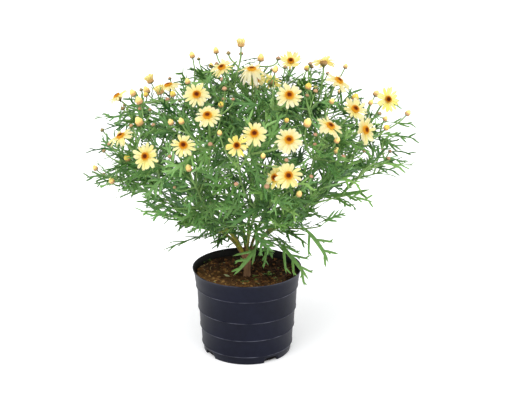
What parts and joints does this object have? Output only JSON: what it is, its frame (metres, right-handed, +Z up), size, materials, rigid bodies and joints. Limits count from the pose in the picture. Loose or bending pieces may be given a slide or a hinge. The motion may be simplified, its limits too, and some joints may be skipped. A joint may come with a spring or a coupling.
{
  "type": "potted daisy-flowered chrysanthemum",
  "caption": "Bushy flowering perennial with finely cut leaves and pale yellow daisy blooms, rooted in a round ribbed nursery pot with drain notches.",
  "frame": {"origin": "middle of the pot's flat underside, on the trunk's axis", "axes": "+Z up out of the pot, -Y towards the side of the plant that faces the viewer, +X to that viewer's right"},
  "size_m": [0.3784, 0.3186, 0.374],
  "materials": {
    "pot_plastic": "moulded black plastic with a soft sheen",
    "peat": "damp crumbly peat with fibres",
    "bark": "rough brown bark, turning olive upwards",
    "foliage": "matt green leaves and stalks",
    "ray_florets": "soft satin petals, pale yellow",
    "disc_florets": "grainy florets, orange round a maroon middle"
  },
  "bodies": {
    "root": {"pot": "pot_plastic", "soil": "peat", "woody_trunk": "bark", "leafy_stem_1": "foliage", "leafy_stem_2": "foliage", "leafy_stem_3": "foliage", "leafy_stem_4": "foliage", "leafy_stem_5": "foliage", "leafy_stem_6": "foliage", "leafy_stem_7": "foliage", "leafy_stem_8": "foliage", "leafy_stem_9": "foliage", "bloom_1_rays": "ray_florets", "bloom_1_disc": "disc_florets", "bloom_2_rays": "ray_florets", "bloom_2_disc": "disc_florets", "bloom_3_rays": "ray_florets", "bloom_3_disc": "disc_florets", "bloom_4_rays": "ray_florets", "bloom_4_disc": "disc_florets", "bloom_5_rays": "ray_florets", "bloom_5_disc": "disc_florets", "bloom_6_rays": "ray_florets", "bloom_6_disc": "disc_florets", "bloom_7_rays": "ray_florets", "bloom_7_disc": "disc_florets", "bloom_8_rays": "ray_florets", "bloom_8_disc": "disc_florets", "bloom_9_rays": "ray_florets", "bloom_9_disc": "disc_florets", "bloom_10_rays": "ray_florets", "bloom_10_disc": "disc_florets", "bloom_11_rays": "ray_florets", "bloom_11_disc": "disc_florets", "bloom_12_rays": "ray_florets", "bloom_12_disc": "disc_florets", "bloom_13_rays": "ray_florets", "bloom_13_disc": "disc_florets", "bloom_14_rays": "ray_florets", "bloom_14_disc": "disc_florets", "bloom_15_rays": "ray_florets", "bloom_15_disc": "disc_florets", "bloom_16_rays": "ray_florets", "bloom_16_disc": "disc_florets", "bloom_17_rays": "ray_florets", "bloom_17_disc": "disc_florets", "bloom_18_rays": "ray_florets", "bloom_18_disc": "disc_florets", "bloom_19_rays": "ray_florets", "bloom_19_disc": "disc_florets", "bloom_20_rays": "ray_florets", "bloom_20_disc": "disc_florets", "bloom_21_rays": "ray_florets", "bloom_21_disc": "disc_florets", "bloom_22_rays": "ray_florets", "bloom_22_disc": "disc_florets", "bloom_23_rays": "ray_florets", "bloom_23_disc": "disc_florets", "bloom_24_rays": "ray_florets", "bloom_24_disc": "disc_florets"}
  },
  "joints": []
}
